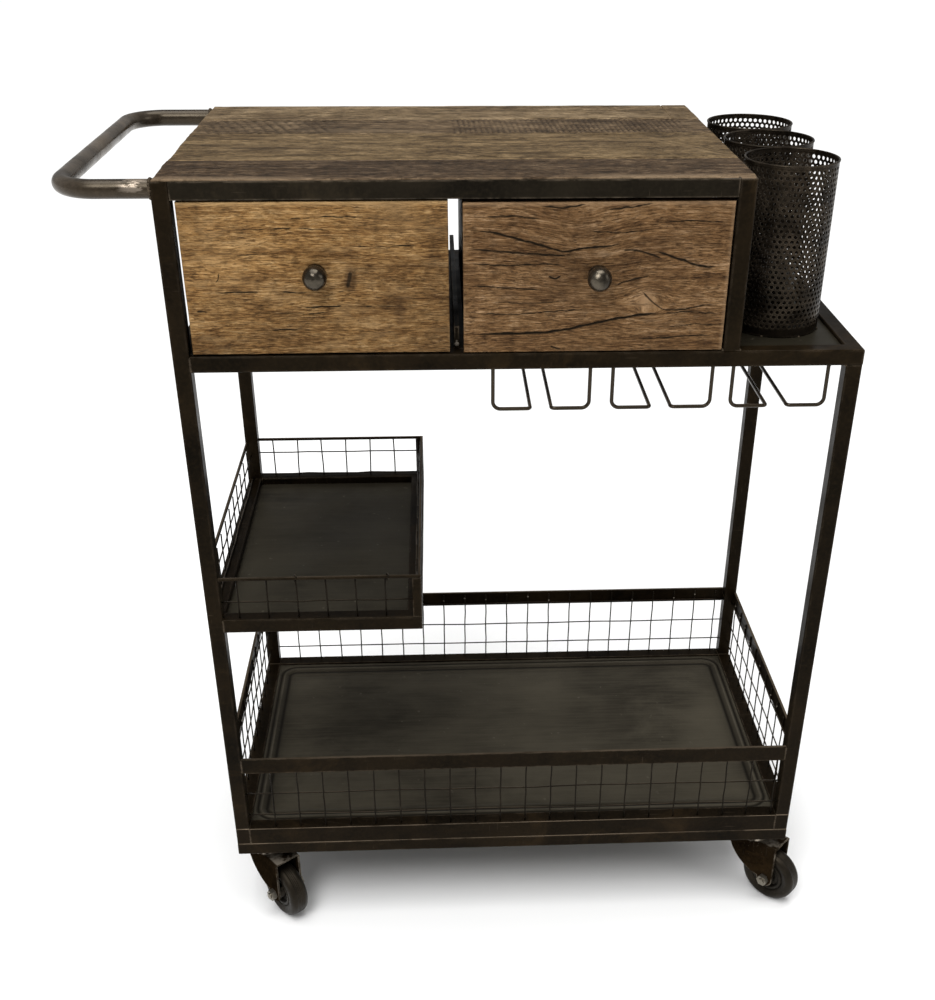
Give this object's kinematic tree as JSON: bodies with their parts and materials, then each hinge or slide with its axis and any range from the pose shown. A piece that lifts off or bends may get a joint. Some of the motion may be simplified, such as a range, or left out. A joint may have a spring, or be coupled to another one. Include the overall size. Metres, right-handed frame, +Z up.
{
  "type": "bar cart",
  "caption": "Rolling bar cart with a plank top, drawers, wire baskets, perforated cups, hanging glass slots and a push handle.",
  "frame": {"origin": "on the floor under the middle of the cart", "axes": "+Z up, +X along the cart away from the push handle, drawer fronts facing -Y"},
  "size_m": [0.8324, 0.4166, 0.94],
  "materials": {
    "frame_steel": "dark brown-black lacquer over welded steel, worn at the edges",
    "handle_steel": "dark lacquered steel tube, rubbed to bare metal at the grip",
    "mesh_wire": "dark lacquered wire",
    "sheet_steel": "dark lacquered steel sheet, satin",
    "cup_steel": "dark lacquered perforated steel",
    "plank_wood": "weathered reclaimed planks",
    "drawer_wood_left": "golden brown reclaimed board",
    "drawer_wood_right": "brown reclaimed board with open cracks",
    "knob_iron": "dark hammered iron, waxed",
    "caster_steel": "dark lacquered pressed steel, scratched bright at the race",
    "zinc_bolt": "zinc plated",
    "wheel_rubber": "black rubber"
  },
  "bodies": {
    "cart": {"base_ring": "frame_steel", "leg_front_left": "frame_steel", "leg_back_left": "frame_steel", "leg_front_right": "frame_steel", "leg_back_right": "frame_steel", "post_front": "frame_steel", "post_back": "frame_steel", "middle_frame": "frame_steel", "top_frame": "frame_steel", "drawer_runner_left": "frame_steel", "drawer_runner_centre": "frame_steel", "drawer_runner_right": "frame_steel", "lower_floor_frame": "frame_steel", "lower_tray": "sheet_steel", "lower_rim": "frame_steel", "lower_mesh_front": "mesh_wire", "lower_mesh_back": "mesh_wire", "lower_mesh_left": "mesh_wire", "lower_mesh_right": "mesh_wire", "upper_frame": "frame_steel", "upper_rim": "frame_steel", "upper_tray": "sheet_steel", "upper_mesh_front": "mesh_wire", "upper_mesh_back": "mesh_wire", "upper_mesh_left": "mesh_wire", "upper_mesh_right": "mesh_wire", "glass_slot_left": "frame_steel", "glass_slot_middle": "frame_steel", "glass_slot_right": "frame_steel", "handle": "handle_steel", "top_plank_front": "plank_wood", "top_plank_second": "plank_wood", "top_plank_third": "plank_wood", "top_plank_rear": "plank_wood", "shelf_tray": "sheet_steel", "cup_front": "cup_steel", "cup_middle": "cup_steel", "cup_back": "cup_steel", "caster_front_left_plate": "caster_steel", "caster_front_right_plate": "caster_steel", "caster_back_left_plate": "caster_steel", "caster_back_right_plate": "caster_steel"},
    "drawer_left": {"drawer_left_front": "drawer_wood_left", "drawer_left_box": "sheet_steel", "drawer_left_knob": "knob_iron"},
    "drawer_right": {"drawer_right_front": "drawer_wood_right", "drawer_right_box": "sheet_steel", "drawer_right_knob": "knob_iron"},
    "caster_front_left_swivel": {"caster_front_left_fork": "caster_steel", "caster_front_left_axle": "zinc_bolt"},
    "caster_front_left_roller": {"caster_front_left_wheel": "wheel_rubber"},
    "caster_front_right_swivel": {"caster_front_right_fork": "caster_steel", "caster_front_right_axle": "zinc_bolt"},
    "caster_front_right_roller": {"caster_front_right_wheel": "wheel_rubber"},
    "caster_back_left_swivel": {"caster_back_left_fork": "caster_steel", "caster_back_left_axle": "zinc_bolt"},
    "caster_back_left_roller": {"caster_back_left_wheel": "wheel_rubber"},
    "caster_back_right_swivel": {"caster_back_right_fork": "caster_steel", "caster_back_right_axle": "zinc_bolt"},
    "caster_back_right_roller": {"caster_back_right_wheel": "wheel_rubber"}
  },
  "joints": [
    {"name": "drawer_left_slide", "type": "slide", "parent": "cart", "child": "drawer_left", "axis": [0, -1, 0], "range_m": [0, 0.22]},
    {"name": "drawer_right_slide", "type": "slide", "parent": "cart", "child": "drawer_right", "axis": [0, -1, 0], "range_m": [0, 0.22]},
    {"name": "caster_front_left_turn", "type": "hinge", "parent": "cart", "child": "caster_front_left_swivel", "pos_m": [-0.284, -0.1445, 0.092], "axis": [0, 0, 1], "continuous": true},
    {"name": "caster_front_left_roll", "type": "hinge", "parent": "caster_front_left_swivel", "child": "caster_front_left_roller", "pos_m": [-0.2626, -0.17092, 0.037], "axis": [-0.7771, -0.6293, 0], "continuous": true},
    {"name": "caster_front_right_turn", "type": "hinge", "parent": "cart", "child": "caster_front_right_swivel", "pos_m": [0.354, -0.1445, 0.092], "axis": [0, 0, 1], "continuous": true},
    {"name": "caster_front_right_roll", "type": "hinge", "parent": "caster_front_right_swivel", "child": "caster_front_right_roller", "pos_m": [0.37846, -0.16812, 0.037], "axis": [-0.6947, -0.7193, 0], "continuous": true},
    {"name": "caster_back_left_turn", "type": "hinge", "parent": "cart", "child": "caster_back_left_swivel", "pos_m": [-0.284, 0.1605, 0.092], "axis": [0, 0, 1], "continuous": true},
    {"name": "caster_back_left_roll", "type": "hinge", "parent": "caster_back_left_swivel", "child": "caster_back_left_roller", "pos_m": [-0.26081, 0.13563, 0.037], "axis": [-0.7314, -0.682, 0], "continuous": true},
    {"name": "caster_back_right_turn", "type": "hinge", "parent": "cart", "child": "caster_back_right_swivel", "pos_m": [0.354, 0.1605, 0.092], "axis": [0, 0, 1], "continuous": true},
    {"name": "caster_back_right_roll", "type": "hinge", "parent": "caster_back_right_swivel", "child": "caster_back_right_roller", "pos_m": [0.38005, 0.13865, 0.037], "axis": [-0.6428, -0.766, 0], "continuous": true}
  ]
}
